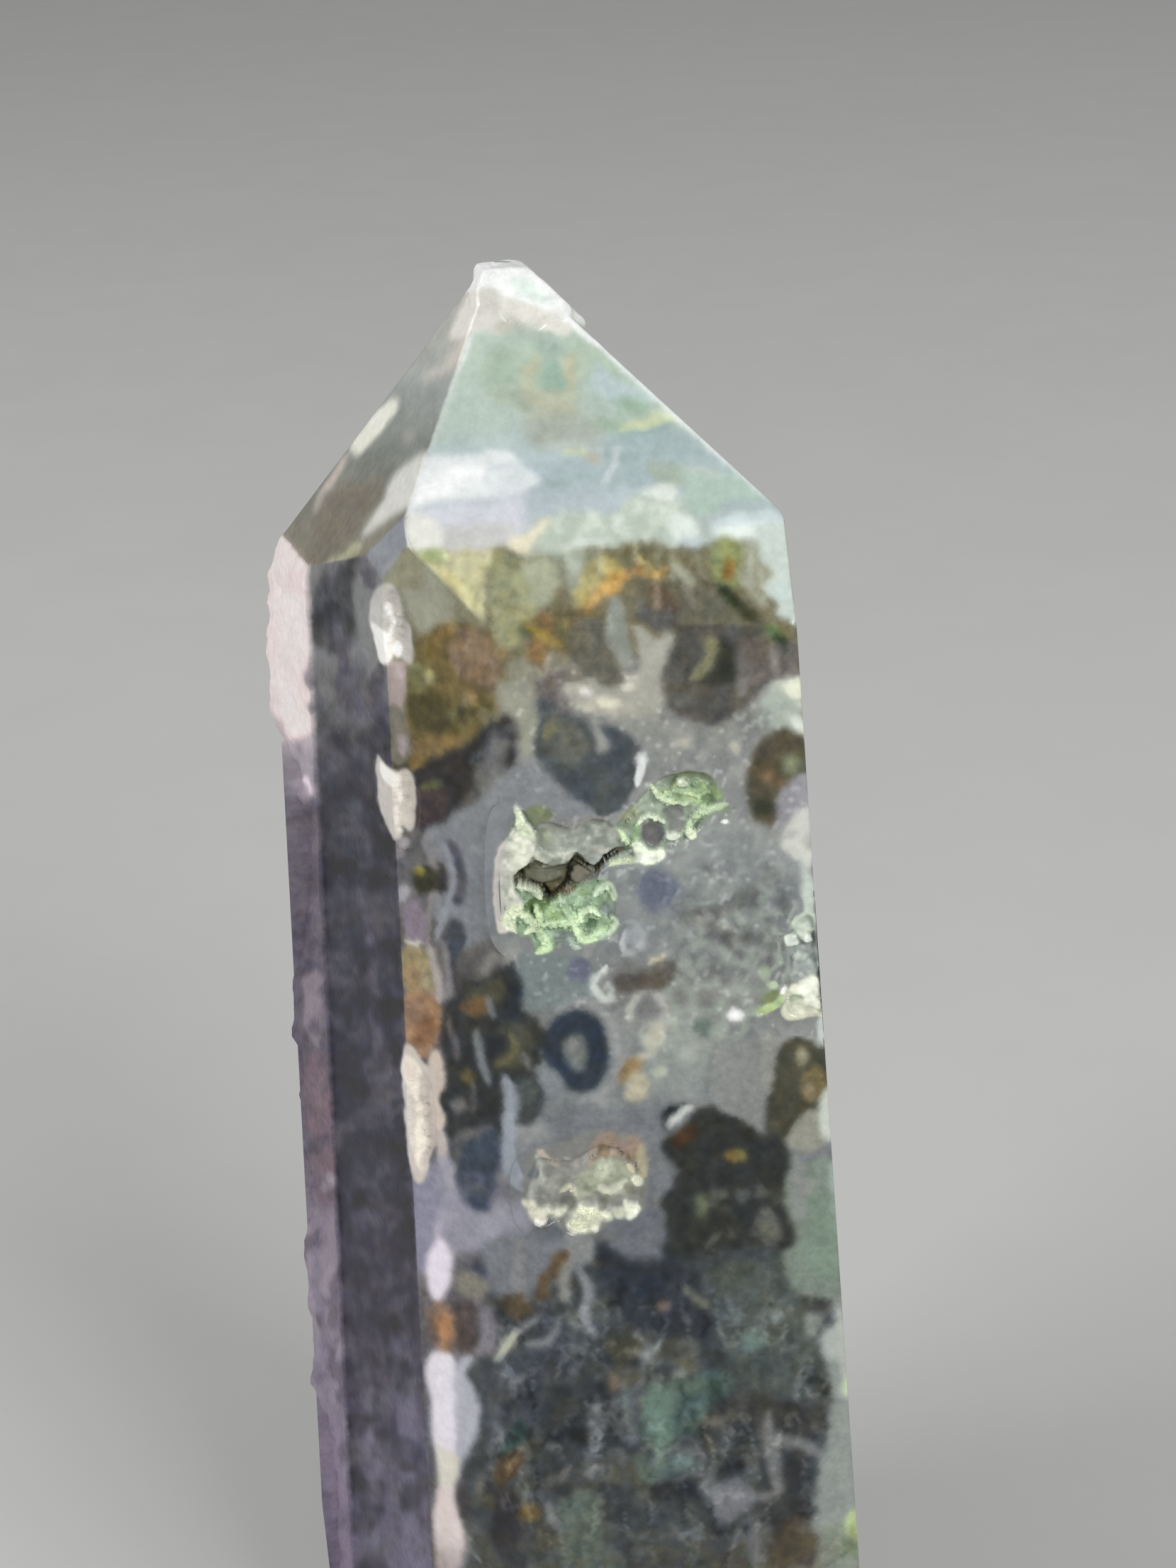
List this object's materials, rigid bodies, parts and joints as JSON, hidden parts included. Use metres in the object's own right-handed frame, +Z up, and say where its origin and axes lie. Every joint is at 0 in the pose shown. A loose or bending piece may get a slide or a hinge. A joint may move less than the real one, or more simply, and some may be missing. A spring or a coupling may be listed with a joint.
{
  "type": "druzy moss agate tower",
  "caption": "Free-standing faceted stone point of dark moss agate with open pockets of pale green crystals, on a flat ground base.",
  "frame": {"origin": "middle of the flat ground base", "axes": "+Z up along the tower to its point, -Y out of the widest polished front face, +X to the right seen from the front"},
  "size_m": [0.0278, 0.0272, 0.0794],
  "materials": {
    "polished_moss_agate": "hand-polished, glassy on the ground faces; matt where raw skin is left",
    "green_druzy": "tiny sparkling crystals, unpolished",
    "cream_druzy": "rough crystal crust, unpolished"
  },
  "bodies": {
    "root": {"tower": "polished_moss_agate", "green_druzy_crust": "green_druzy", "pale_druzy_crust": "cream_druzy", "right_druzy_crust": "green_druzy"}
  },
  "joints": []
}
